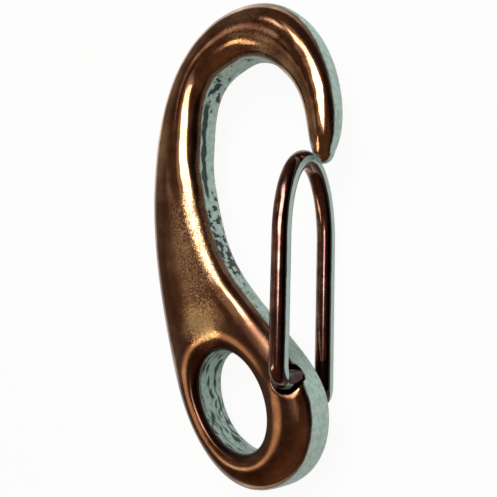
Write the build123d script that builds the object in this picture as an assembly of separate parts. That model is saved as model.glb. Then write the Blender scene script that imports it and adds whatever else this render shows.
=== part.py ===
from build123d import *

# Snap hook with a sprung wire gate: one cast body and one bent wire gate.
#
# The hook lies on its back: +X runs from the spine to the gate, +Y along the hook towards
# the crown, +Z out of the upper face. Everything is in millimetres, with the origin below
# the middle of the hook on the plane that the lower gate leg rests on.

import os
from math import cos, radians, sin

# cast body
HALF_THICKNESS = 4.7
WALL_HALF = 1.5
EDGE_ROUND = 4.3
SPLICE_Y = 14.0
SPINE_X = -18.8
INSIDE_X = -9.25

# eye at the lower end, a slanted oval
EYE_CENTRE = (3.7, -27.0)
EYE_LONG = 17.2
EYE_SHORT = 12.2
EYE_LEAN = 40.0
EYE_LIP = 1.6
EYE_WALL_HALF = 2.35

# wire gate
WIRE_DIA = 3.0
LEG_SPACING = 13.0
GATE_LENGTH = 35.9
GATE_LEAN = 3.95
ARCH_RISE = 12.5
BEND_RADIUS = 2.0
PIVOT = (14.85, -23.85)
PIN_STAGGER = 3.5
PIN_REACH = 2.7
GATE_TRAVEL = 28.0
HOLE_DIA = 4.1
HOLE_DEPTH = 3.1

# valley between the spine and the bridge, one on each face
VALLEY_CENTRE = (-8.1, -8.6)
VALLEY_LONG = 26.0
VALLEY_WIDE = 9.0
VALLEY_DEPTH = 0.45
VALLEY_LEAN = 24.0

BASE_LIFT = (LEG_SPACING + WIRE_DIA) / 2

# outline of the lower body, from the spine round the eye to the inside of the hook
LOWER_OUTLINE = [
    (SPINE_X, SPLICE_Y),
    (-17.0, -1.9),
    (-11.4, -19.2),
    (-3.2, -34.0),
    (7.6, -39.88),
    (17.1, -35.0),
    (17.95, -24.4),
    (11.95, -17.1),
    (2.85, -9.35),
    (-4.95, 0.75),
    (-8.4, 9.0),
    (INSIDE_X, SPLICE_Y),
]

# stations of the hook arm: outer point, inner point, half thickness, outer and inner half wall
ARM_STATIONS = [
    ((SPINE_X, SPLICE_Y), (INSIDE_X, SPLICE_Y), 4.7, 1.5, 1.5),
    ((-18.75, 16.3), (-9.28, 16.3), 4.7, 1.5, 1.5),
    ((-18.1, 21.5), (-9.5, 20.4), 4.7, 1.4, 1.5),
    ((-15.9, 28.9), (-8.4, 26.0), 4.7, 1.2, 1.55),
    ((-11.0, 35.8), (-5.1, 29.0), 4.65, 0.9, 1.6),
    ((-3.2, 39.6), (-1.3, 30.35), 4.5, 0.6, 1.5),
    ((5.1, 38.85), (3.0, 29.65), 4.25, 0.4, 1.25),
    ((11.7, 34.0), (7.0, 27.1), 3.9, 0.35, 1.0),
    ((16.0, 26.8), (10.3, 23.3), 3.4, 0.3, 0.6),
    ((17.95, 18.9), (12.4, 17.9), 2.8, 0.25, 0.3),
    ((17.3, 13.2), (13.8, 12.8), 1.75, 0.15, 0.15),
]
TIP_LENGTH = 1.9


def leaning(angle):
    """Unit vector in the plane of the hook, angle degrees from +Y towards -X."""
    return Vector(-sin(radians(angle)), cos(radians(angle)), 0)


def lower_body():
    """Spine, bridge and eye ring as one slab with deep rounded edges."""
    stretch = EDGE_ROUND / (HALF_THICKNESS - WALL_HALF)
    spare = SPLICE_Y + 3 * EDGE_ROUND
    rim = Spline(*LOWER_OUTLINE, tangents=[(0, -1), (0, 1)])
    ends = Polyline(
        (INSIDE_X, SPLICE_Y),
        (INSIDE_X, spare),
        (SPINE_X, spare),
        (SPINE_X, SPLICE_Y),
    )
    slab = extrude(make_face([rim, ends]), HALF_THICKNESS * stretch, both=True)
    edges = [
        edge
        for edge in slab.edges()
        if abs(edge.center().Z) > HALF_THICKNESS and edge.center().Y < spare - 0.1
    ]
    slab = fillet(edges, EDGE_ROUND)
    slab = scale(slab, by=(1, 1, 1 / stretch))
    return split(slab, Plane.XZ.offset(-SPLICE_Y), keep=Keep.TOP)


def arm_section(outer, inner, half_thickness, outer_wall, inner_wall):
    """Cross-section of the arm: two flat walls joined by two elliptical domes."""
    outer, inner = Vector(*outer), Vector(*inner)
    across = outer - inner
    half = across.length / 2
    reach = half * EDGE_ROUND / ((INSIDE_X - SPINE_X) / 2)
    flat = half - reach
    top = half_thickness
    plane = Plane((outer + inner) / 2, x_dir=across, z_dir=across.cross(Vector(0, 0, 1)))
    with BuildSketch(plane) as section:
        with BuildLine():
            Line((half, -outer_wall), (half, outer_wall))
            EllipticalCenterArc((flat, outer_wall), reach, top - outer_wall, 0)
            Line((flat, top), (-flat, top))
            EllipticalCenterArc((-flat, inner_wall), reach, top - inner_wall, 90)
            Line((-half, inner_wall), (-half, -inner_wall))
            EllipticalCenterArc((-flat, -inner_wall), reach, top - inner_wall, 180)
            Line((-flat, -top), (flat, -top))
            EllipticalCenterArc((flat, -outer_wall), reach, top - outer_wall, 270)
        make_face()
    return section.sketch.faces()[0]


def nose_tip():
    """Rounded end of the nose, half an ellipsoid beyond the last station."""
    outer, inner, half_thickness = ARM_STATIONS[-1][:3]
    across = Vector(*outer) - Vector(*inner)
    plane = Plane((Vector(*outer) + Vector(*inner)) / 2, x_dir=across, z_dir=(0, 0, 1))
    return plane * scale(Sphere(1), by=(across.length / 2, TIP_LENGTH, half_thickness))


def hook_arm():
    """Spine, crown and nose, lofted through the stations, with the rounded tip."""
    return loft([arm_section(*station) for station in ARM_STATIONS]) + nose_tip()


def eye_cutter():
    """Oval through hole whose lips flare out on both faces."""
    bore = EYE_SHORT / 2
    lip = HALF_THICKNESS - EYE_WALL_HALF
    top = HALF_THICKNESS + 1
    with BuildSketch(Plane.XZ) as profile:
        with BuildLine():
            Polyline((0, -top), (0, top), (bore + EYE_LIP, top), (bore + EYE_LIP, HALF_THICKNESS))
            EllipticalCenterArc((bore + EYE_LIP, EYE_WALL_HALF), EYE_LIP, lip, 90)
            Line((bore, EYE_WALL_HALF), (bore, -EYE_WALL_HALF))
            EllipticalCenterArc((bore + EYE_LIP, -EYE_WALL_HALF), EYE_LIP, lip, 180)
            Polyline((bore + EYE_LIP, -HALF_THICKNESS), (bore + EYE_LIP, -top), (0, -top))
        make_face()
    cutter = revolve(profile.sketch, Axis.Z)
    cutter = scale(cutter, by=(1, EYE_LONG / EYE_SHORT, 1))
    return Pos(*EYE_CENTRE, 0) * Rot(0, 0, EYE_LEAN) * cutter


def valley_cutter(side):
    """Shallow hollow that parts the spine from the bridge on one face."""
    depth = VALLEY_DEPTH
    ball_radius = (VALLEY_WIDE ** 2 / 4 + depth ** 2) / (2 * depth)
    ball = scale(Sphere(ball_radius), by=(1, VALLEY_LONG / VALLEY_WIDE, 1))
    height = side * (HALF_THICKNESS - depth + ball_radius)
    return Pos(*VALLEY_CENTRE, height) * Rot(0, 0, VALLEY_LEAN) * ball


def pivot_hole(side):
    """Blind hole that clears one pin through the gate's travel; side +1 is the upper face."""
    shift = leaning(GATE_LEAN + GATE_TRAVEL / 2) * side * (PIN_STAGGER / 2)
    middle = side * (HALF_THICKNESS + 1 - (HOLE_DEPTH + 1) / 2)
    drill = Cylinder(HOLE_DIA / 2, HOLE_DEPTH + 1)
    return Pos(PIVOT[0] + shift.X, PIVOT[1] + shift.Y, middle) * drill


def hook_body():
    """The casting: ring, spine, crown and nose with the eye and two pivot holes."""
    body = lower_body() + hook_arm()
    body -= eye_cutter()
    for side in (1, -1):
        body -= valley_cutter(side)
        body -= pivot_hole(side)
    return body


def wire_gate():
    """The gate: one wire bent into a long staple with its ends turned in as pins."""
    half = LEG_SPACING / 2
    foot_up = PIN_STAGGER / 2
    foot_down = -PIN_STAGGER / 2
    shoulder = GATE_LENGTH - ARCH_RISE
    pin_end = HALF_THICKNESS - PIN_REACH
    along = leaning(GATE_LEAN)
    plane = Plane(Vector(*PIVOT, 0), x_dir=Vector(0, 0, 1), z_dir=Vector(0, 0, 1).cross(along))
    bend = BEND_RADIUS
    with BuildLine(plane) as path:
        Line((pin_end, foot_up), (half - bend, foot_up))
        CenterArc((half - bend, foot_up + bend), bend, -90, 90)
        Line((half, foot_up + bend), (half, shoulder))
        EllipticalCenterArc((0, shoulder), half, ARCH_RISE, 0, arc_size=180)
        Line((-half, shoulder), (-half, foot_down + bend))
        CenterArc((bend - half, foot_down + bend), bend, 180, 90)
        Line((bend - half, foot_down), (-pin_end, foot_down))
    start = path.line @ 0
    wire = Plane(start, z_dir=path.line % 0) * Circle(WIRE_DIA / 2)
    return sweep(wire, path=path.line)


def placed(shape):
    """Move a shape from the hook's own mid-plane up onto the resting plane."""
    return Pos(0, 0, BASE_LIFT) * shape


os.makedirs("parts", exist_ok=True)
export_step(placed(hook_body()), "parts/hook_body.step")
export_step(placed(wire_gate()), "parts/wire_gate.step")
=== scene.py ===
import logging
import math
from dataclasses import dataclass
from enum import Enum
from typing import Any, Callable, Sequence

import bpy
import numpy as np
from mathutils import Matrix, Vector


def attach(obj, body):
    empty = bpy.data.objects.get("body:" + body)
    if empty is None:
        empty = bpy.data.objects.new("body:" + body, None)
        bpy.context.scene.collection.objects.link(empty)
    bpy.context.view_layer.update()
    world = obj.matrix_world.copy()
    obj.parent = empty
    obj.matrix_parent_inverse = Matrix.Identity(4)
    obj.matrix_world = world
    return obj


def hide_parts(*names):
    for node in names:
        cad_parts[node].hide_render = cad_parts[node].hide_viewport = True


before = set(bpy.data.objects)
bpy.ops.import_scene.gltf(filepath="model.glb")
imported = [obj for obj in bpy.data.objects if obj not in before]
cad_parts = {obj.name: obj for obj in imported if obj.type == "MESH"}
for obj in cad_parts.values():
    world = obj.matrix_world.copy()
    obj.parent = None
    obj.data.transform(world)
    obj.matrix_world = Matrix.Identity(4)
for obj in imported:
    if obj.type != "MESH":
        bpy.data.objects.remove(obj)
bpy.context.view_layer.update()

log = logging.getLogger("snap_hook")

Colour = tuple[float, float, float]
Triple = tuple[float, float, float]
Pair = tuple[float, float]
MM = 0.001
WHITE: Colour = (1.0, 1.0, 1.0)

# the lattice noise's hash
LATTICE_PRIMES = (73856093, 19349663, 83492791)
SEED_PRIME = 2654435761
MIX_PRIME = 1274126177
HASH_MASK = 0x7FFFFFFF
TOP_BITS = 0xFFFF


def mm(first: float, second: float) -> Pair:
    """A pair of millimetres, in metres."""
    return first * MM, second * MM


class Region(Enum):
    """Point attributes that tell a finish where it is on its piece."""

    AS_CAST = "as_cast"
    PIT = "pit"
    GRAIN = "grain"
    # painted golden sheen above 0, painted shade below it
    SHEEN_AND_SHADE = "gold"
    # painted shade on the faces' edges and inside the pivot holes
    PAINTED_SHADE = "patina"
    FLANK = "flank"


# ---- shader maths


class Value:
    """A shader value that adds Math nodes when it is used in an expression."""

    def __init__(self, graph: "Graph", socket: Any) -> None:
        """Wrap one output socket of a graph."""
        self.graph = graph
        self.socket = socket

    def _math(self, operation: str, *terms: Any) -> "Value":
        """Add one Math node over numbers or values, in the node's order."""
        settings = {"operation": operation}
        return self.graph.node("ShaderNodeMath", settings, dict(enumerate(terms)))

    def __add__(self, other: Any) -> "Value":
        """Sum with a value or a number."""
        return self._math("ADD", self, other)

    __radd__ = __add__

    def __sub__(self, other: Any) -> "Value":
        """Difference from a value or a number."""
        return self._math("SUBTRACT", self, other)

    def __rsub__(self, other: Any) -> "Value":
        """A number less this value."""
        return self._math("SUBTRACT", other, self)

    def __mul__(self, other: Any) -> "Value":
        """Product with a value or a number."""
        return self._math("MULTIPLY", self, other)

    __rmul__ = __mul__

    def step(self, low: float, high: float) -> "Value":
        """Smooth step from 0 at low to 1 at high.

        Args:
            low: where the step starts.
            high: where it ends; below low, the step runs the other way.

        Returns:
            The step, held between 0 and 1.
        """
        if low > high:
            return 1.0 - self.step(high, low)
        settings = {"interpolation_type": "SMOOTHSTEP", "clamp": True}
        inputs = {"Value": self, "From Min": low, "From Max": high}
        return self.graph.node("ShaderNodeMapRange", settings, inputs, output="Result")


class Graph:
    """A material's or a world's node tree, with one method that makes every node."""

    def __init__(self, owner: Any) -> None:
        """Start an empty tree.

        Args:
            owner: the material or world that the tree belongs to.
        """
        self.owner = owner
        owner.use_nodes = True
        self.tree = owner.node_tree
        self.tree.nodes.clear()

    def node(
        self,
        kind: str,
        settings: dict[str, Any] | None = None,
        inputs: dict[Any, Any] | None = None,
        output: Any = 0,
    ) -> Value:
        """Add a node, set it up, then give its inputs numbers or links.

        Args:
            kind: the node's type.
            settings: properties of the node; a ramp's stops come as "stops".
            inputs: values or links by input name or index.
            output: the output to return, by name or index.

        Returns:
            The chosen output.
        """
        made = self.tree.nodes.new(kind)
        for key, setting in (settings or {}).items():
            if key == "stops":
                self._stops(made.color_ramp, setting)
            else:
                setattr(made, key, setting)
        for key, given in (inputs or {}).items():
            socket = made.inputs[key]
            if isinstance(given, Value):
                self.tree.links.new(given.socket, socket)
            elif socket.type == "RGBA":
                socket.default_value = (*given, 1.0)
            else:
                socket.default_value = given
        return Value(self, made.outputs[output])

    @staticmethod
    def _stops(ramp: Any, stops: Sequence[tuple[float, Colour]]) -> None:
        """Fill a colour ramp.

        Args:
            ramp: the ramp.
            stops: positions and colours, in order.
        """
        while len(ramp.elements) < len(stops):
            ramp.elements.new(1.0)
        for element, (place, colour) in zip(ramp.elements, stops):
            element.position = place
            element.color = (*colour, 1.0)

    def place(self) -> Value:
        """Position on the piece, in metres."""
        return self.node("ShaderNodeTexCoord", output="Object")

    def attribute(self, region: Region) -> Value:
        """A point attribute of the piece."""
        settings = {"attribute_name": region.value}
        return self.node("ShaderNodeAttribute", settings, output="Fac")

    def stretched(self, vector: Value, scale: Triple) -> Value:
        """A vector scaled along each axis."""
        return self.node("ShaderNodeMapping", {}, {"Vector": vector, "Scale": scale})

    def noise(self, vector: Value, size: float, detail: float, roughness: float) -> Value:
        """Smooth noise between 0 and 1.

        Args:
            vector: where to read it.
            size: a blot's size in metres.
            detail: octaves.
            roughness: weight of the finer octaves.

        Returns:
            The noise.
        """
        inputs = {"Vector": vector, "Scale": 1.0 / size, "Detail": detail, "Roughness": roughness}
        return self.node("ShaderNodeTexNoise", {}, inputs)

    def mix(self, factor: Any, first: Any, second: Any) -> Value:
        """Blend two colours: a factor of 0 gives the first, 1 the second."""
        inputs = {0: factor, 6: first, 7: second}
        return self.node("ShaderNodeMix", {"data_type": "RGBA"}, inputs, output=2)

    def ramp(self, value: Value, stops: Sequence[tuple[float, Colour]]) -> Value:
        """A colour ramp over a value."""
        return self.node("ShaderNodeValToRGB", {"stops": stops}, {0: value})

    def bump(self, height: Value, depth: float) -> Value:
        """Shading normal of a height, where depth is what 1 stands for, in metres."""
        inputs = {"Height": height, "Distance": depth, "Strength": 1.0}
        return self.node("ShaderNodeBump", {}, inputs)

    def facing(self, vector: Value, direction: Triple) -> Value:
        """How nearly a unit vector points one way.

        Args:
            vector: the unit vector.
            direction: the way, of any length.

        Returns:
            The cosine of the angle between them.
        """
        aim = tuple(Vector(direction).normalized())
        settings = {"operation": "DOT_PRODUCT"}
        return self.node("ShaderNodeVectorMath", settings, {0: vector, 1: aim}, output="Value")

    def shader_mix(self, factor: Value, first: Value, second: Value) -> Value:
        """Blend two shaders: a factor of 0 gives the first, 1 the second."""
        return self.node("ShaderNodeMixShader", {}, {0: factor, 1: first, 2: second})

    def close(self, shader: Value, kind: str = "ShaderNodeOutputMaterial") -> None:
        """Link a shader to an output node of the given kind."""
        out = self.tree.nodes.new(kind)
        self.tree.links.new(shader.socket, out.inputs["Surface"])


def coated(name: str, shade: Callable[[Graph], dict[str, Any]]) -> bpy.types.Material:
    """A material with one Principled shader.

    Args:
        name: the material's name.
        shade: gives the shader's inputs for a graph.

    Returns:
        The material.
    """
    graph = Graph(bpy.data.materials.new(name))
    graph.close(graph.node("ShaderNodeBsdfPrincipled", {}, shade(graph)))
    return graph.owner


# ---- finishes


@dataclass(frozen=True)
class CastBronzeFinish:
    """Polished bronze-brown faces over a pale grey-green as-cast skin on the side walls, whose
    paleness is partly a painted reflection of the white table; painted shade darkens edges, pivot
    holes, ring and pits, and a painted golden sheen lights the valley's foot.

    Cloud, speck, peel and mottle are noises, each with its size, detail and roughness.
    The fields named tone, rough and relief are weights. The two reliefs hold one for the
    plain polish, one for where it is grainy and one for the as-cast skin.
    """

    name: str = "cast_bronze"
    umber: Colour = (0.27, 0.125, 0.07)
    brown: Colour = (0.50, 0.285, 0.165)
    golden: Colour = (0.80, 0.56, 0.29)
    # painted shade colour, darkening the faces' edges, the pivot holes, the ring and a band of
    # the spine
    patina: Colour = (0.035, 0.016, 0.012)
    # as-cast skin, paler and greener as a painted reflection of the white table
    pale_skin_and_reflection: Colour = (0.46, 0.62, 0.57)
    grey_skin_and_reflection: Colour = (0.33, 0.46, 0.42)
    # painted shade in the pits, the trough and the flow lines
    pit_shade: Colour = (0.03, 0.05, 0.043)
    cloud: Triple = (5.0 * MM, 4.0, 0.6)
    speck: Triple = (0.3 * MM, 3.0, 0.6)
    peel: Triple = (0.5 * MM, 2.0, 0.5)
    mottle: Triple = (0.9 * MM, 4.0, 0.65)
    speck_mean: float = 0.48
    full_dull_shade: float = -0.6
    dull_shade_share: float = 0.5
    tone_stops: Triple = (0.36, 0.52, 0.74)
    tone_cloud: float = 0.8
    tone_speck: float = 0.2
    tone_grain: float = 1.4
    tone_sheen_and_shade: float = 0.25
    mottle_step: Pair = (0.36, 0.62)
    pit_step: Pair = (0.15, 0.75)
    polish: float = 0.10
    matte: float = 0.55
    rough_step: Pair = (0.45, 0.75)
    rough_speck: float = 0.05
    rough_grain: float = 0.12
    rough_painted_shade: float = 0.2
    rough_sheen: float = 0.14
    rough_dull_shade: float = 0.1
    relief_peel: Triple = (0.07, 1.1, 0.5)
    relief_speck: Triple = (0.04, 1.0, 0.8)
    relief_depth: float = 0.022 * MM
    skin_loss: float = 0.7

    def tone(self, graph: Graph, cloud: Value, speck: Value, grain: Value, gold: Value) -> Value:
        """Colour of the polished metal with its painted golden sheen, before its painted shade.

        Args:
            graph: the graph to build in.
            cloud: broad noise.
            speck: fine noise.
            grain: how grainy the polish is.
            gold: painted golden sheen above 0, painted shade below 0.

        Returns:
            The colour.
        """
        plain = cloud * self.tone_cloud + speck * self.tone_speck
        grainy = (speck - self.speck_mean) * grain * self.tone_grain
        colours = (self.umber, self.brown, self.golden)
        stops = list(zip(self.tone_stops, colours))
        # the tone is raised by a painted golden sheen and lowered by painted shade
        return graph.ramp(plain + grainy + self.tone_sheen_and_shade * gold, stops)

    @staticmethod
    def rise(noise: Value, weights: Triple, grain: Value, as_cast: Value) -> Value:
        """One noise's part of the relief, weighted for the plain polish, the grain and skin."""
        plain, grainy, cast = weights
        return noise * (plain + grainy * grain + cast * as_cast)

    def shade(self, graph: Graph) -> dict[str, Any]:
        """Inputs of the casting's shader.

        Args:
            graph: the graph to build in.

        Returns:
            The inputs by name.
        """
        place = graph.place()
        as_cast = graph.attribute(Region.AS_CAST)
        pit = graph.attribute(Region.PIT)
        grain = graph.attribute(Region.GRAIN)
        gold = graph.attribute(Region.SHEEN_AND_SHADE)
        patina = graph.attribute(Region.PAINTED_SHADE)
        cloud = graph.noise(place, *self.cloud)
        speck = graph.noise(place, *self.speck)
        peel = graph.noise(place, *self.peel)
        mottle = graph.noise(place, *self.mottle)
        # painted shade: the ring and the spine's outer band are darkened as well as roughened
        dull_shade = gold.step(0.0, self.full_dull_shade)
        metal = self.tone(graph, cloud, speck, grain, gold)
        # painted shade on the faces' edges, the pivot holes, the ring and the spine's outer band
        metal = graph.mix(patina + self.dull_shade_share * dull_shade, metal, self.patina)
        # as-cast skin colour, partly a painted reflection of the white table
        skin = graph.mix(mottle.step(*self.mottle_step), self.grey_skin_and_reflection, self.pale_skin_and_reflection)
        # painted shade in the pits, the trough and the flow lines
        skin = graph.mix(pit.step(*self.pit_step), skin, self.pit_shade)
        shine = self.polish + self.rough_speck * speck.step(*self.rough_step)
        shine = shine + self.rough_grain * grain + self.rough_painted_shade * patina
        shine = shine + self.rough_sheen * gold.step(0.0, 1.0) + self.rough_dull_shade * dull_shade
        height = self.rise(peel, self.relief_peel, grain, as_cast)
        height = height + self.rise(speck, self.relief_speck, grain, as_cast)
        return {
            "Base Color": graph.mix(as_cast, metal, skin),
            "Roughness": shine * (1.0 - as_cast) + self.matte * as_cast,
            "Metallic": 1.0 - self.skin_loss * as_cast,
            "Normal": graph.bump(height, self.relief_depth),
        }


@dataclass(frozen=True)
class GateWireFinish:
    """Drawn and polished bronze-brown wire with a painted pale reflection along its two flanks,
    and painted shade beside it and on its feet.

    Cloud and drawn are noises, each with its size, detail and roughness.
    """

    name: str = "gate_wire"
    umber: Colour = (0.17, 0.085, 0.075)
    brown: Colour = (0.40, 0.23, 0.17)
    # painted shade: the dark band beside each pale flank, and the feet in their holes
    patina: Colour = (0.025, 0.014, 0.014)
    # painted pale reflection of the white table along the flanks
    flank_reflection: Colour = (0.40, 0.54, 0.49)
    cloud: Triple = (2.6 * MM, 4.0, 0.6)
    cloud_step: Pair = (0.35, 0.7)
    drawn: Triple = (0.3 * MM, 3.0, 0.6)
    drawn_stretch: Triple = (1.0, 0.05, 1.0)
    drawn_depth: float = 0.004 * MM
    reflection_waver: float = 0.04
    reflection_step: Pair = (0.93, 0.965)
    painted_shade_step: Pair = (0.45, 0.85)
    painted_shade_share: float = 0.95
    polish: float = 0.08
    rough_drawn: float = 0.06
    rough_reflection: float = 0.35
    reflection_loss: float = 0.6

    def shade(self, graph: Graph) -> dict[str, Any]:
        """Inputs of the wire's shader.

        Args:
            graph: the graph to build in.

        Returns:
            The inputs by name.
        """
        place = graph.place()
        flank = graph.attribute(Region.FLANK)
        lengthwise = graph.stretched(place, self.drawn_stretch)
        drawn = graph.noise(lengthwise, *self.drawn)
        cloud = graph.noise(place, *self.cloud)
        # painted reflection where the wire faces sideways
        flank_reflection = (flank + (cloud - 0.5) * self.reflection_waver).step(*self.reflection_step)
        metal = graph.mix(cloud.step(*self.cloud_step), self.umber, self.brown)
        # painted shade beside the flanks and on the feet
        dark = flank.step(*self.painted_shade_step) * self.painted_shade_share
        metal = graph.mix(dark, metal, self.patina)
        return {
            "Base Color": graph.mix(flank_reflection, metal, self.flank_reflection),
            "Roughness": self.polish + self.rough_drawn * drawn + self.rough_reflection * flank_reflection,
            "Metallic": 1.0 - self.reflection_loss * flank_reflection,
            "Normal": graph.bump(drawn, self.drawn_depth),
        }


# ---- meshes


@dataclass(frozen=True)
class Lattice:
    """One pattern of smooth noise, with its cell in metres and a seed."""

    cell: float
    seed: int

    def read(self, points: np.ndarray) -> np.ndarray:
        """Noise between 0 and 1 at each point.

        Each corner of the lattice gets a number hashed from its whole coordinates, and a
        point takes the smoothstep blend of its cell's eight corners.

        Args:
            points: places, n by 3.

        Returns:
            An array of n values.
        """
        scaled = points / self.cell
        base = np.floor(scaled).astype(np.int64)
        part = scaled - base
        part = part * part * (3.0 - 2.0 * part)
        total = np.zeros(len(points))
        for corner in range(8):
            step = np.array([(corner >> axis) & 1 for axis in range(3)])
            mixed = np.bitwise_xor.reduce((base + step) * np.array(LATTICE_PRIMES), axis=1)
            mixed = (mixed + self.seed * SEED_PRIME) & HASH_MASK
            mixed = ((mixed ^ (mixed >> 13)) * MIX_PRIME) & HASH_MASK
            hashed = ((mixed ^ (mixed >> 16)) & TOP_BITS) / TOP_BITS
            weight = np.prod(np.where(step == 1, part, 1.0 - part), axis=1)
            total += weight * hashed
        return total


def smoothstep(value: np.ndarray, low: float, high: float) -> np.ndarray:
    """Cubic step from 0 at low to 1 at high."""
    part = np.clip((value - low) / (high - low), 0.0, 1.0)
    return part * part * (3.0 - 2.0 * part)


def fade(value: np.ndarray, low: float, high: float) -> np.ndarray:
    """Cubic step from 1 at low to 0 at high."""
    return 1.0 - smoothstep(value, low, high)


def plan_distance(places: np.ndarray, centre: Pair) -> np.ndarray:
    """Distance in plan of each point from a centre."""
    return np.linalg.norm(places[:, :2] - np.array(centre), axis=1)


def cosine_towards(normals: np.ndarray, away: np.ndarray, least: float) -> np.ndarray:
    """How nearly normals point along a way in plan.

    Args:
        normals: normals, n by 3.
        away: the way in plan of each point, of any length, n by 2.
        least: the shortest length to divide by.

    Returns:
        The cosines, smaller where the way is shorter than least.
    """
    length = np.maximum(np.linalg.norm(away, axis=1), least)
    return (normals[:, :2] * away).sum(axis=1) / length


def read_points(mesh: bpy.types.Mesh) -> tuple[np.ndarray, np.ndarray]:
    """Vertex places and normals as arrays.

    Args:
        mesh: the mesh.

    Returns:
        Places and normals, n by 3 each.
    """
    count = len(mesh.vertices)
    places = np.empty(count * 3, np.float32)
    mesh.vertices.foreach_get("co", places)
    normals = np.empty(count * 3, np.float32)
    mesh.vertices.foreach_get("normal", normals)
    return places.reshape(-1, 3).astype(float), normals.reshape(-1, 3).astype(float)


def write_points(mesh: bpy.types.Mesh, places: np.ndarray) -> None:
    """Give a mesh's vertices new places, n by 3."""
    mesh.vertices.foreach_set("co", places.astype(np.float32).ravel())
    mesh.update()


def write_attribute(mesh: bpy.types.Mesh, region: Region, values: np.ndarray) -> None:
    """Store one value per point under a region's name."""
    layer = mesh.attributes.new(region.value, "FLOAT", "POINT")
    layer.data.foreach_set("value", values.astype(np.float32))


def linked(name: str, data: Any) -> bpy.types.Object:
    """A new object in the scene, over a mesh, a lamp or a lens."""
    made = bpy.data.objects.new(name, data)
    bpy.context.scene.collection.objects.link(made)
    return made


def tube(name: str, rings: np.ndarray) -> bpy.types.Object:
    """Skin a closed tube over rings of points, with a fan at each end.

    Face (i, j) joins ring i to ring i + 1 between points j and j + 1, and the last point
    of a ring is followed by its first.

    Args:
        name: the object's name.
        rings: an array of rings by points by 3.

    Returns:
        The new object, smooth shaded.
    """
    count, around = rings.shape[:2]
    first = np.arange((count - 1) * around).reshape(count - 1, around)
    ahead = np.roll(first, -1, axis=1)
    quads = np.stack([first, ahead, ahead + around, first + around], axis=2).reshape(-1, 4)
    start, stop = count * around, count * around + 1
    lead = np.arange(around)
    tail = lead + (count - 1) * around
    near = np.stack([np.roll(lead, -1), lead, np.full(around, start)], axis=1)
    far = np.stack([tail, np.roll(tail, -1), np.full(around, stop)], axis=1)
    points = np.vstack([rings.reshape(-1, 3), rings[[0, -1]].mean(axis=1)])
    mesh = bpy.data.meshes.new(name)
    mesh.from_pydata(points.tolist(), [], quads.tolist() + near.tolist() + far.tolist())
    mesh.shade_smooth()
    mesh.update()
    return linked(name, mesh)


def bake_modifiers(piece: bpy.types.Object) -> None:
    """Take a piece's modifiers into its mesh."""
    graph = bpy.context.evaluated_depsgraph_get()
    baked = bpy.data.meshes.new_from_object(piece.evaluated_get(graph))
    piece.modifiers.clear()
    piece.data = baked


def relax(mesh: bpy.types.Mesh, places: np.ndarray, share: np.ndarray, rounds: int) -> np.ndarray:
    """Ease a surface by moving points halfway to the mean of their neighbours.

    Args:
        mesh: the mesh whose edges tell the neighbours.
        places: its points, n by 3.
        share: how fully each point takes part.
        rounds: how many times.

    Returns:
        The eased points.
    """
    count = len(places)
    pairs = np.empty(len(mesh.edges) * 2, np.int32)
    mesh.edges.foreach_get("vertices", pairs)
    one, other = pairs.reshape(-1, 2).T
    here, there = np.concatenate([one, other]), np.concatenate([other, one])
    weight = (0.5 * share / np.maximum(np.bincount(here, minlength=count), 1))[:, None]
    for _ in range(rounds):
        reach = (places[there] - places[here]).T
        pull = np.stack([np.bincount(here, axis, minlength=count) for axis in reach], axis=1)
        places = places + weight * pull
    return places


# ---- sub-assemblies


@dataclass(frozen=True)
class Stretch:
    """A stretch along the hook, faded in over its rise and out over its fall."""

    rise: Pair
    fall: Pair

    def share(self, along: np.ndarray) -> np.ndarray:
        """Share by which places along the hook lie in the stretch."""
        return smoothstep(along, *self.rise) * fade(along, *self.fall)


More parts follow.
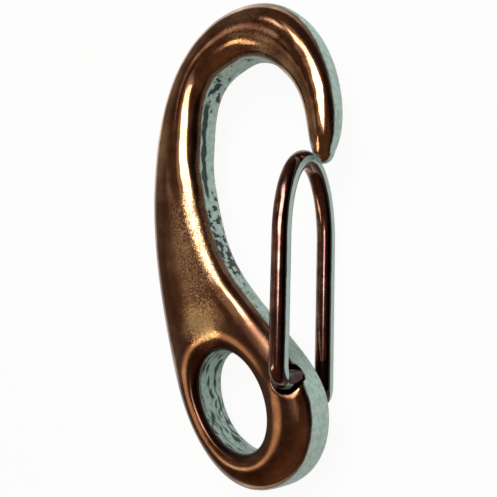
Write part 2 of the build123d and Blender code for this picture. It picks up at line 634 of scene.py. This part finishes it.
@dataclass
class CastBody:
    """The casting: ring, spine, crown and nose, with pitted walls under polished faces.

    Pairs named fade, step or turn are where a share starts and ends. The flow lines are
    drawn out along the eye's wall as flow_radius is below the wall's own.
    """

    node: str = "hook_body"
    weld: float = 0.002 * MM
    grid: float = 0.25 * MM
    easing: int = 5
    mid_height: float = 8.0 * MM
    half_thickness: float = 4.7 * MM

    # openings in plan
    eye_centre: Pair = mm(3.7, -27.0)
    eye_radii: Pair = mm(8.6, 6.1)
    eye_lean: float = 40.0
    eye_reach: float = 10.5 * MM
    mouth_centre: Pair = mm(3.0, 9.0)
    mouth_reach: float = 25.0 * MM
    reach_fade: float = 2.0 * MM
    inward_step: Pair = (0.02, 0.2)

    # pivot holes, on the upper and the lower face
    pivots: tuple[Pair, Pair] = (mm(14.73, -22.1), mm(14.97, -25.6))
    hole_fade: Pair = mm(2.3, 2.6)
    hole_floor_fade: Pair = mm(1.9, 2.3)
    hole_side_step: Pair = (0.2, 0.5)
    hole_level_step: Pair = (0.6, 0.9)
    hole_clear: Pair = mm(2.7, 4.2)

    # fuller inner side of the shank, whose line is given as (along, across)
    inner_line: tuple[Pair, ...] = (
        mm(-8.0, 1.2),
        mm(3.0, -6.0),
        mm(10.3, -9.1),
        mm(30.0, -9.5),
    )
    shank: Stretch = Stretch(mm(-6.0, 4.0), mm(20.0, 30.0))
    shank_fill: float = 0.20 * MM
    shank_depth: Pair = mm(-7.5, -0.5)
    bend_height: float = 10.3 * MM
    bend_reach: float = 6.5 * MM
    bend_fill: float = 0.55 * MM
    nose_side: float = 6.0 * MM

    # crown of the ring
    ring_drop: float = 0.35 * MM
    ring_top: float = 2.9 * MM
    ring_width: float = 2.2 * MM
    ring_fade: Pair = mm(4.5, 11.0)
    least_ratio: float = 0.5

    # polishing
    dome_rounds: int = 48
    dome_step: Pair = (0.25, 0.7)
    broad_rounds: int = 110
    broad_step: Pair = (0.6, 0.99)
    broad_fade: Pair = mm(-6.0, 8.0)

    # as-cast walls
    mouth_wall: float = 1.55 * MM
    eye_wall: float = 2.4 * MM
    low_side: float = 1.25 * MM
    wall_border: float = 0.1 * MM
    wall_ragged: float = 0.22 * MM
    wall_turn: Pair = (0.44, 0.52)
    turn_ragged: float = 0.05
    upright_fade: Pair = (0.75, 0.9)
    wall_noise: Lattice = Lattice(0.9 * MM, 3)
    dimple_depth: float = 0.03 * MM
    dimple_noise: Lattice = Lattice(0.7 * MM, 29)

    # blow-holes
    pit_depth: float = 0.28 * MM
    pits_bridge: Stretch = Stretch(mm(-9.0, -5.0), mm(1.0, 4.0))
    pits_corner: Stretch = Stretch(mm(23.0, 25.0), mm(27.5, 30.5))
    pits_stray: Stretch = Stretch(mm(1.0, 3.0), mm(5.0, 8.0))
    pits_fine: Stretch = Stretch(mm(-19.0, -12.0), mm(-7.0, -4.0))
    pits_side: float = 10.0 * MM
    sparse: float = 0.62
    pit_floor: Pair = (0.72, 0.43)
    pit_border: float = 0.09
    coarse_noise: Lattice = Lattice(0.8 * MM, 11)
    coarse_share: float = 0.6
    small_noise: Lattice = Lattice(0.38 * MM, 17)
    speck_step: Pair = (0.66, 0.78)
    speck_share: float = 0.6

    # shrinkage trough
    trough: Stretch = Stretch(mm(5.0, 8.0), mm(22.0, 25.0))
    trough_lift: float = 0.45 * MM
    trough_wander: float = 0.5 * MM
    trough_swell: float = 0.35 * MM
    trough_fade: Pair = mm(0.42, 0.80)
    wander_noise: Lattice = Lattice(1.5 * MM, 53)
    swell_noise: Lattice = Lattice(0.9 * MM, 59)

    # flow lines
    flow_radius: float = 3.0 * MM
    flow_pitch: float = 2.6
    flow_wave: float = 3.0 * MM
    flow_step: Pair = (0.42, 0.68)
    flow_share: float = 0.7
    flow_noise: Lattice = Lattice(0.8 * MM, 47)
    wave_noise: Lattice = Lattice(1.2 * MM, 41)

    # tones of the polish, with its painted golden sheen and painted shade
    grain_line: tuple[Pair, Pair] = (mm(-8.0, 3.0), mm(-2.6, -15.6))
    grain_fade: Pair = mm(1.65, 5.5)
    crown_spot: Pair = mm(1.0, 32.0)
    crown_fade: Pair = mm(3.0, 9.0)
    crown_grain: float = 0.4
    # painted golden highlight at the valley's foot
    sheen_fade: Pair = mm(0.5, 5.5)
    # painted shade and roughness on the ring and on the spine's outer band
    dull_shade_ring: float = 0.6
    dull_shade_ring_fade: Pair = mm(11.0, 14.5)
    dull_shade_band: float = 0.4
    dull_shade_side_fade: Pair = mm(-5.0, -2.5)
    dull_shade_end_fade: Pair = mm(4.0, 14.0)
    # painted shade where the faces turn down to the walls
    painted_shade_share: float = 0.85
    painted_shade_inner_fade: Pair = (0.35, 0.62)
    painted_shade_outer_fade: Pair = (0.52, 0.76)

    def mesh(self) -> bpy.types.Object:
        """One even, closed skin over the casting's solid, eased as a tumbled casting is.

        Returns:
            The new piece.
        """
        piece = linked("cast_body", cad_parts[self.node].data.copy())
        weld = piece.modifiers.new("weld", "WELD")
        weld.merge_threshold = self.weld
        skin = piece.modifiers.new("skin", "REMESH")
        skin.mode = "VOXEL"
        skin.voxel_size = self.grid
        skin.use_smooth_shade = True
        ease = piece.modifiers.new("ease", "SMOOTH")
        ease.factor = 0.5
        ease.iterations = self.easing
        bake_modifiers(piece)
        return piece

    def hole_distance(self, places: np.ndarray) -> np.ndarray:
        """Distance in plan of each point from the axis of the pivot hole on its own face."""
        upper, lower = (plan_distance(places, axis) for axis in self.pivots)
        return np.where(places[:, 2] > self.mid_height, upper, lower)

    def in_hole(self, places: np.ndarray, normals: np.ndarray) -> np.ndarray:
        """Share by which points belong to the side or the floor of a pivot hole.

        Args:
            places: points, n by 3.
            normals: their normals.

        Returns:
            Values between 0 and 1.
        """
        lift = places[:, 2] - self.mid_height
        away = np.where(lift[:, None] > 0.0, *self.pivots) - places[:, :2]
        inward = cosine_towards(normals, away, 0.1 * MM)
        side = smoothstep(inward, *self.hole_side_step)
        sunk = fade(np.abs(lift), *self.hole_floor_fade)
        floor = sunk * smoothstep(np.abs(normals[:, 2]), *self.hole_level_step)
        return fade(self.hole_distance(places), *self.hole_fade) * np.maximum(side, floor)

    def fill_out(self, places: np.ndarray) -> np.ndarray:
        """Round the shank's inner side where it runs on into the bridge.

        Points move towards the mouth by shank_fill along the shank, plus bend_fill times
        (1 - distance from the bend / bend_reach) squared, fading to nothing at the outer
        side.

        Args:
            places: points, n by 3.

        Returns:
            The moved points.
        """
        across, along = places[:, 0], places[:, 1]
        inner = np.interp(along, *np.array(self.inner_line).T)
        bend = np.clip(1.0 - np.abs(along - self.bend_height) / self.bend_reach, 0.0, 1.0) ** 2
        deep, shallow = self.shank_depth
        share = smoothstep(across, inner + deep, inner + shallow) * (across < self.nose_side)
        moved = places.copy()
        moved[:, 0] += share * (self.shank_fill * self.shank.share(along) + self.bend_fill * bend)
        return moved

    def dome_ring(self, places: np.ndarray) -> np.ndarray:
        """Crown the faces of the ring round the eye.

        With d the distance from the eye's rim, the faces drop by ring_drop times
        (1 - exp(-((d - ring_top) / ring_width) squared)), fading out beyond the ring and
        down to the eye's wall.

        Args:
            places: points, n by 3.

        Returns:
            The moved points.
        """
        away = places[:, :2] - np.array(self.eye_centre)
        lean = math.radians(90.0 + self.eye_lean)
        cos, sin = math.cos(lean), math.sin(lean)
        turned = away @ np.array([[cos, -sin], [sin, cos]])
        ratio = np.linalg.norm(turned / np.array(self.eye_radii), axis=1)
        ratio = np.maximum(ratio, self.least_ratio)
        rim = np.linalg.norm(away, axis=1) * (1.0 - 1.0 / ratio)
        lift = places[:, 2] - self.mid_height
        above = (np.abs(lift) - self.eye_wall) / (self.half_thickness - self.eye_wall)
        drop = self.ring_drop * (1.0 - np.exp(-(((rim - self.ring_top) / self.ring_width) ** 2)))
        moved = places.copy()
        share = np.clip(above, 0.0, 1.0) * fade(rim, *self.ring_fade)
        moved[:, 2] -= np.sign(lift) * share * drop
        return moved

    def blend(self, piece: bpy.types.Object) -> None:
        """Run the faces, valleys and domes into one another as polishing does.

        The faces and domes are eased everywhere, the broad faces of the lower body once
        more over a longer way, and the walls and the rims of the pivot holes stay crisp.

        Args:
            piece: the casting's piece.
        """
        mesh = piece.data
        places, normals = read_points(mesh)
        level = np.abs(normals[:, 2])
        clear = smoothstep(self.hole_distance(places), *self.hole_clear)
        places = self.dome_ring(self.fill_out(places))
        domes = clear * smoothstep(level, *self.dome_step)
        broad = clear * fade(places[:, 1], *self.broad_fade) * smoothstep(level, *self.broad_step)
        places = relax(mesh, places, domes, self.dome_rounds)
        places = relax(mesh, places, broad, self.broad_rounds)
        write_points(mesh, places)

    def facing_in(
        self, places: np.ndarray, normals: np.ndarray, centre: Pair, reach: float
    ) -> np.ndarray:
        """Share by which points face an opening's centre and lie within its reach.

        Args:
            places: points, n by 3.
            normals: their normals.
            centre: the opening's centre in plan.
            reach: radius that takes in its walls.

        Returns:
            Values between 0 and 1.
        """
        inward = cosine_towards(normals, np.array(centre) - places[:, :2], MM)
        near = fade(plan_distance(places, centre), reach, reach + self.reach_fade)
        return smoothstep(inward, *self.inward_step) * near

    def walls(
        self, places: np.ndarray, normals: np.ndarray, mouth: np.ndarray, eye: np.ndarray
    ) -> np.ndarray:
        """Share by which points belong to the as-cast side walls.

        The mouth's and the eye's walls end at a height, the outer ones where they turn
        up to the faces, and noise roughens every border.

        Args:
            places: points, n by 3.
            normals: their normals.
            mouth: share by which they face the mouth.
            eye: share by which they face the eye.

        Returns:
            Values between 0 and 1.
        """
        ragged = self.wall_noise.read(places) - 0.5
        level = np.abs(normals[:, 2])
        lift = places[:, 2] - self.mid_height
        height = np.where(lift > 0.0, lift, np.maximum(-lift - self.low_side, 0.0))
        height = height + self.wall_ragged * ragged
        low, high = (
            fade(height, wall - self.wall_border, wall + self.wall_border)
            for wall in (self.mouth_wall, self.eye_wall)
        )
        turned = fade(level + self.turn_ragged * ragged, *self.wall_turn)
        outer = turned * np.clip(1.0 - mouth - eye, 0.0, 1.0)
        upright = fade(level, *self.upright_fade)
        return np.clip(outer + upright * (mouth * low + eye * high), 0.0, 1.0)

    def pits(self, places: np.ndarray) -> np.ndarray:
        """Blow-holes along the mouth's wall, dense by the bridge and sparse by the crown.

        Two scales of lattice noise make the holes, and their threshold falls where the
        wall is rougher.

        Args:
            places: points, n by 3.

        Returns:
            Values between 0 and 1.
        """
        along = places[:, 1]
        few = np.maximum(self.pits_corner.share(along), self.pits_stray.share(along))
        rough = np.maximum(self.pits_bridge.share(along), self.sparse * few)
        rough = rough * (places[:, 0] < self.pits_side)
        coarse = self.coarse_noise.read(places)
        small = self.small_noise.read(places)
        smooth_floor, rough_floor = self.pit_floor
        floor = smooth_floor - (smooth_floor - rough_floor) * rough
        blend = self.coarse_share * coarse + (1.0 - self.coarse_share) * small
        holes = smoothstep(blend, floor, floor + self.pit_border)
        fine = self.pits_fine.share(along) * smoothstep(small, *self.speck_step)
        return np.maximum(holes, self.speck_share * fine)

    def groove(self, places: np.ndarray) -> np.ndarray:
        """Long shrinkage trough in the mouth's wall beside the spine, just above its middle.

        Its middle and its width wander by slow noises, and it fades out at both ends.

        Args:
            places: points, n by 3.

        Returns:
            Values between 0 and 1.
        """
        along = places[:, 1]
        line = np.zeros_like(places)
        line[:, 1] = along
        wander = (self.wander_noise.read(line) - 0.5) * self.trough_wander
        swell = (self.swell_noise.read(line) - 0.5) * self.trough_swell
        off = np.abs(places[:, 2] - self.mid_height - self.trough_lift + wander) - swell
        beside = self.trough.share(along) * (places[:, 0] < 0.0)
        return beside * fade(off, *self.trough_fade)

    def runs(self, places: np.ndarray) -> np.ndarray:
        """Wavy flow lines round the eye's wall.

        The noise is read at (r sin a, r cos a, pitch times height + a wavy shift), with a
        the angle round the eye and r the flow radius.

        Args:
            places: points, n by 3.

        Returns:
            Values between 0 and 1.
        """
        away = places[:, :2] - np.array(self.eye_centre)
        angle = np.arctan2(away[:, 1], away[:, 0])
        wave = self.flow_wave * (self.wave_noise.read(places) - 0.5)
        height = self.flow_pitch * places[:, 2] + wave
        radius = self.flow_radius
        flow = np.stack([np.sin(angle) * radius, np.cos(angle) * radius, height], axis=1)
        return self.flow_share * smoothstep(self.flow_noise.read(flow), *self.flow_step)

    def grain(self, places: np.ndarray) -> np.ndarray:
        """Share by which the polish is grainy, along the valley and on the crown.

        Args:
            places: points, n by 3.

        Returns:
            Values between 0 and 1.
        """
        start, stop = (np.array(end) for end in self.grain_line)
        line = stop - start
        away = places[:, :2] - start
        part = np.clip(away @ line / (line**2).sum(), 0.0, 1.0)
        spread = np.linalg.norm(away - part[:, None] * line, axis=1)
        crown = fade(plan_distance(places, self.crown_spot), *self.crown_fade)
        return np.maximum(fade(spread, *self.grain_fade), self.crown_grain * crown)

    def gold(self, places: np.ndarray) -> np.ndarray:
        """Painted sheen and shade of the polish: 1 at the valley's golden foot, a painted golden
        highlight, and below 0 where painted shade darkens it.

        The ring is roughened and darkened by painted shade, and so is the outer band of the spine
        beside the valley.

        Args:
            places: points, n by 3.

        Returns:
            Values between the fullest painted shade and 1.
        """
        start, stop = (np.array(end) for end in self.grain_line)
        line = (stop - start) / np.linalg.norm(stop - start)
        away = places[:, :2] - start
        side = away[:, 1] * line[0] - away[:, 0] * line[1]
        ring = fade(plan_distance(places, self.eye_centre), *self.dull_shade_ring_fade)
        band = fade(side, *self.dull_shade_side_fade) * fade(places[:, 1], *self.dull_shade_end_fade)
        # painted golden highlight at the valley's foot, painted shade on the ring and the band
        golden = fade(plan_distance(places, stop), *self.sheen_fade)
        dull_shade = np.maximum(self.dull_shade_ring * ring, self.dull_shade_band * band)
        return golden - dull_shade * (1.0 - golden)

    def patina(self, normals: np.ndarray, inner: np.ndarray) -> np.ndarray:
        """Painted shade where the faces turn down to the walls, for the dark they reflect there.

        Args:
            normals: the points' normals, n by 3.
            inner: share by which they face an opening.

        Returns:
            Values between 0 and 1.
        """
        level = np.abs(normals[:, 2])
        edge = inner * fade(level, *self.painted_shade_inner_fade)
        edge = edge + (1.0 - inner) * fade(level, *self.painted_shade_outer_fade)
        return self.painted_shade_share * edge

    def weather_and_paint_light(self, piece: bpy.types.Object) -> None:
        """Sink pits and flow lines into the walls, and mark where they are and where shade, sheen
        and reflection are painted.

        Args:
            piece: the casting's piece.
        """
        mesh = piece.data
        places, normals = read_points(mesh)
        mouth = self.facing_in(places, normals, self.mouth_centre, self.mouth_reach)
        eye = self.facing_in(places, normals, self.eye_centre, self.eye_reach)
        wall = self.walls(places, normals, mouth, eye)
        holes = np.maximum(self.pits(places), self.groove(places))
        pit = wall * np.clip(holes * mouth + self.runs(places) * eye, 0.0, 1.0)
        dimple = self.dimple_noise.read(places) * wall
        sink = self.pit_depth * pit + self.dimple_depth * dimple
        write_points(mesh, places - normals * sink[:, None])
        hole = self.in_hole(places, normals)
        inner = np.clip(mouth + eye, 0.0, 1.0)
        marks = {
            # as-cast walls, whose pale colour is partly a painted reflection
            Region.AS_CAST: wall * (1.0 - hole),
            Region.PIT: pit,
            Region.GRAIN: self.grain(places),
            # painted golden sheen and painted shade of the polish
            Region.SHEEN_AND_SHADE: self.gold(places),
            # painted shade on the faces' edges and inside the pivot holes
            Region.PAINTED_SHADE: np.maximum(self.patina(normals, inner), hole),
        }
        for region, values in marks.items():
            write_attribute(mesh, region, values)

    def build(self) -> bpy.types.Object:
        """Make, weather and dress the casting.

        Returns:
            The finished piece.
        """
        finish = CastBronzeFinish()
        piece = self.mesh()
        self.blend(piece)
        self.weather_and_paint_light(piece)
        piece.data.materials.clear()
        piece.data.materials.append(coated(finish.name, finish.shade))
        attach(piece, "body")
        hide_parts(self.node)
        log.info("casting: %d faces", len(piece.data.polygons))
        return piece


@dataclass
class WireGate:
    """The gate: one wire bent into a long arched staple with its feet turned in."""

    node: str = "wire_gate"
    wire_dia: float = 3.0 * MM
    leg_spacing: float = 13.0 * MM
    length: float = 35.9 * MM
    lean: float = 3.95
    arch_rise: float = 12.5 * MM
    bend: float = 2.0 * MM
    pivot: Pair = mm(14.85, -23.85)
    stagger: float = 3.5 * MM
    pin_end: float = 2.0 * MM
    mid_height: float = 8.0 * MM

    # points along each part of the wire, and around it
    foot_points: int = 12
    bend_points: int = 25
    leg_points: int = 60
    arch_points: int = 161
    around: int = 72

    # where the turned-in feet are, and the values that paint shade on them and a pale reflection
    # on their bends' caps
    foot_rise: float = 4.5 * MM
    foot_inset: float = 0.6 * MM
    foot_flank: float = 0.84
    cap_tilt: float = -0.35
    cap_flank: float = 0.955

    def leg(self, foot: float) -> np.ndarray:
        """One foot, its bend and its leg, up to the shoulder of the arch.

        Args:
            foot: how far along the gate the foot stands.

        Returns:
            Points as (out of plane, along the gate) pairs, n by 2.
        """
        half, shoulder = self.leg_spacing / 2, self.length - self.arch_rise
        inset, knee = half - self.bend, foot + self.bend
        turn = np.linspace(0.0, math.pi / 2, self.bend_points)
        parts = [
            (np.linspace(self.pin_end, inset, self.foot_points), np.full(self.foot_points, foot)),
            (inset + self.bend * np.sin(turn), foot + self.bend * (1.0 - np.cos(turn))),
            (np.full(self.leg_points, half), np.linspace(knee, shoulder, self.leg_points)),
        ]
        run, bend, rise = (np.stack(part, axis=1) for part in parts)
        return np.vstack([run, bend[1:], rise[1:]])

    def centre_line(self) -> np.ndarray:
        """Points along the wire's centre, as (out of plane, along the gate) pairs.

        The arch between the two legs is half an ellipse: across = half the spacing times
        cos t, along = shoulder + rise times sin t.

        Returns:
            An array of n by 2.
        """
        turn = np.linspace(0.0, math.pi, self.arch_points)
        across = self.leg_spacing / 2 * np.cos(turn)
        along = self.length - self.arch_rise + self.arch_rise * np.sin(turn)
        near = self.leg(self.stagger / 2)
        far = self.leg(-self.stagger / 2)[::-1] * (-1.0, 1.0)
        return np.vstack([near, np.stack([across, along], axis=1)[1:], far[1:]])

    def surface(self) -> np.ndarray:
        """Rings of the round wire about its centre line.

        A ring is centre + radius times (cos a times the flat direction + sin a times the
        side), where flat is square to the gate's plane and side is flat crossed with the
        tangent.

        Returns:
            An array of rings by points by 3.
        """
        line = self.centre_line()
        lean = math.radians(self.lean)
        along = np.array([-math.sin(lean), math.cos(lean), 0.0])
        out = np.array([0.0, 0.0, 1.0])
        flat = np.cross(along, out)
        origin = np.array([*self.pivot, self.mid_height])
        centres = origin + line[:, :1] * out + line[:, 1:] * along
        tangent = np.gradient(centres, axis=0)
        tangent /= np.linalg.norm(tangent, axis=1)[:, None]
        side = np.cross(tangent, flat)
        angle = np.linspace(0.0, 2 * math.pi, self.around, endpoint=False)[None, :, None]
        spoke = np.cos(angle) * flat + np.sin(angle) * side[:, None, :]
        return centres[:, None, :] + self.wire_dia / 2 * spoke

    def flanks(self, places: np.ndarray, normals: np.ndarray) -> np.ndarray:
        """How nearly each point faces away from the gate's plane.

        The turned-in feet get a value of their own that paints shade on them, and the caps of
        their bends one that paints a pale reflection.

        Args:
            places: points, n by 3.
            normals: their normals.

        Returns:
            Values between 0 and 1.
        """
        lean = math.radians(self.lean)
        flank = np.abs(normals @ np.array([math.cos(lean), math.sin(lean), 0.0]))
        reach = np.abs(places[:, 2] - self.mid_height)
        half = self.leg_spacing / 2
        foot = (places[:, 1] < self.pivot[1] + self.foot_rise) & (reach < half - self.foot_inset)
        cap = foot & (normals[:, 1] < self.cap_tilt) & (reach > half - self.bend)
        return np.where(foot, np.where(cap, self.cap_flank, self.foot_flank), flank)

    def build(self) -> bpy.types.Object:
        """Make and dress the gate.

        Returns:
            The finished piece.
        """
        finish = GateWireFinish()
        piece = tube("gate_wire", self.surface())
        write_attribute(piece.data, Region.FLANK, self.flanks(*read_points(piece.data)))
        piece.data.materials.append(coated(finish.name, finish.shade))
        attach(piece, "gate")
        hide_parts(self.node)
        log.info("gate: %d faces", len(piece.data.polygons))
        return piece


# ---- studio


@dataclass(frozen=True)
class Softbox:
    """One rectangular lamp that looks at the hook."""

    name: str
    direction: Triple
    spread: Pair
    radiance: float
    colour: Colour
    distance: float = 0.5
    seen: bool = True

    def build(self, target: Vector) -> bpy.types.Object:
        """Hang the lamp.

        Its sides are twice the distance times the tangent of half its spread in degrees,
        and its power is the radiance times pi times its area. A lamp that isn't seen
        gives light but no highlight.

        Args:
            target: what it looks at.

        Returns:
            The lamp.
        """
        lamp = bpy.data.lights.new(self.name, "AREA")
        lamp.shape = "RECTANGLE"
        sides = [2 * self.distance * math.tan(math.radians(angle) / 2) for angle in self.spread]
        lamp.size, lamp.size_y = sides
        lamp.energy = self.radiance * math.pi * sides[0] * sides[1]
        lamp.color = self.colour
        made = linked(self.name, lamp)
        away = Vector(self.direction).normalized()
        aim = away.to_track_quat("Z", "Y").to_matrix().to_4x4()
        made.matrix_world = Matrix.Translation(target + away * self.distance) @ aim
        made.visible_glossy = self.seen
        return made


@dataclass(frozen=True)
class Glow:
    """One soft patch of the room.

    It starts where the cosine to its direction passes start, and is whole past full.
    """

    direction: Triple
    start: float
    full: float
    colour: Colour


@dataclass
class Studio:
    """White table, dim room, soft lamps and the camera."""

    target: Triple = (2.14 * MM, -2.34 * MM, 7.7 * MM)
    azimuth: float = 37.4
    elevation: float = -5.06
    roll: float = 4.85
    distance: float = 112 * MM
    focal: float = 1.3515
    sensor: float = 36.0
    clip: Pair = (0.005, 20.0)
    room: Colour = (0.085, 0.050, 0.038)
    glows: tuple[Glow, ...] = (
        Glow((0.10, -1.0, 0.25), 0.0, 0.90, (0.12, 0.065, 0.04)),
        Glow((0.45, 0.75, 0.30), 0.75, 0.97, (0.045, 0.026, 0.028)),
        Glow((0.90, 0.35, 0.12), 0.80, 0.97, (0.010, 0.008, 0.008)),
        Glow((0.0, 0.1, 1.0), 0.86, 0.99, (0.10, 0.062, 0.04)),
        Glow((-0.75, 0.62, 0.1), 0.72, 0.95, (0.12, 0.10, 0.085)),
        Glow((-1.0, 0.0, 0.15), 0.72, 0.96, (0.24, 0.21, 0.18)),
    )
    lamps: tuple[Softbox, ...] = (
        Softbox("key_core", (0.19, 0.40, 0.89), (27.0, 40.0), 6.0, (1.0, 0.98, 0.96)),
        Softbox("key_wide", (0.13, 0.42, 0.90), (46.0, 54.0), 0.30, (1.0, 0.82, 0.64), 0.55),
        Softbox("key_high", (-0.04, 0.65, 0.76), (13.0, 10.0), 5.5, (1.0, 0.95, 0.91)),
        Softbox("warm_left", (-0.58, -0.27, 0.77), (10.0, 30.0), 3.0, (1.0, 0.87, 0.62)),
        Softbox("rose_left", (-0.53, 0.38, 0.76), (7.0, 9.0), 0.7, (1.0, 0.84, 0.78)),
        Softbox("left_haze", (-0.61, 0.09, 0.78), (13.0, 16.0), 0.22, (1.0, 0.84, 0.70)),
        Softbox("rose_high", (-0.30, 0.66, 0.70), (8.0, 8.0), 2.0, (1.0, 0.88, 0.86)),
        Softbox("fill", (0.84, -0.05, 0.54), (50.0, 50.0), 0.6, WHITE, seen=False),
    )
    paper: Colour = (0.84, 0.86, 0.84)
    table_reach: float = 1.5
    table_glow: tuple[tuple[str, float], ...] = (
        ("Camera", 0.94),
        ("Glossy", 0.85),
        ("Transmission", 0.85),
    )

    def camera(self) -> bpy.types.Object:
        """Place the camera above and to the gate's side of the hook.

        Azimuth turns from +Z towards +X, elevation from there towards +Y.

        Returns:
            The camera.
        """
        angles = (self.azimuth, self.elevation, self.roll)
        turn, lift, roll = (math.radians(angle) for angle in angles)
        level = math.cos(lift)
        back = Vector((math.sin(turn) * level, math.sin(lift), math.cos(turn) * level))
        right = (-back).cross(Vector((0.0, 1.0, 0.0))).normalized()
        up = back.cross(right)
        rolled_right = math.cos(roll) * right + math.sin(roll) * up
        rolled_up = math.cos(roll) * up - math.sin(roll) * right
        lens = bpy.data.cameras.new("camera")
        lens.sensor_width = self.sensor
        lens.lens = self.sensor * self.focal
        lens.clip_start, lens.clip_end = self.clip
        made = linked("camera", lens)
        basis = Matrix((rolled_right, rolled_up, back)).transposed().to_4x4()
        made.matrix_world = Matrix.Translation(Vector(self.target) + back * self.distance) @ basis
        bpy.context.scene.camera = made
        return made

    def world(self) -> None:
        """The dim warm room, and white where the camera looks past the table."""
        graph = Graph(bpy.data.worlds.new("studio"))
        bpy.context.scene.world = graph.owner
        way = graph.node("ShaderNodeTexCoord", output="Generated")
        room: Any = self.room
        for glow in self.glows:
            share = graph.facing(way, glow.direction).step(glow.start, glow.full)
            room = graph.mix(share, room, glow.colour)
        sky = graph.node("ShaderNodeBackground", {}, {"Color": room})
        white = graph.node("ShaderNodeBackground", {}, {"Color": WHITE})
        seen = graph.node("ShaderNodeLightPath", output="Is Camera Ray")
        graph.close(graph.shader_mix(seen, sky, white), "ShaderNodeOutputWorld")

    def floor(self) -> bpy.types.Object:
        """A wide white table that the hook lies on.

        Returns:
            The floor.
        """
        reach = self.table_reach
        mesh = bpy.data.meshes.new("floor")
        corners = ((-reach, -reach), (reach, -reach), (reach, reach), (-reach, reach))
        mesh.from_pydata([(*corner, 0.0) for corner in corners], [], [(0, 1, 2, 3)])
        made = linked("floor", mesh)
        graph = Graph(bpy.data.materials.new("table"))
        paper = graph.node("ShaderNodeBsdfDiffuse", {}, {"Color": self.paper})
        glow = graph.node("ShaderNodeEmission", {}, {"Color": WHITE})
        share: Any = 0.0
        for ray, part in self.table_glow:
            share = share + part * graph.node("ShaderNodeLightPath", output=f"Is {ray} Ray")
        graph.close(graph.shader_mix(share, paper, glow))
        mesh.materials.append(graph.owner)
        return made

    def build(self) -> None:
        """Set the whole stage."""
        self.camera()
        self.world()
        self.floor()
        for lamp in self.lamps:
            lamp.build(Vector(self.target))
        bpy.context.scene.view_settings.view_transform = "Standard"


def main() -> None:
    """Build every piece in order, then the stage."""
    logging.basicConfig(level=logging.INFO)
    CastBody().build()
    WireGate().build()
    Studio().build()


if __name__ == "__main__":
    main()
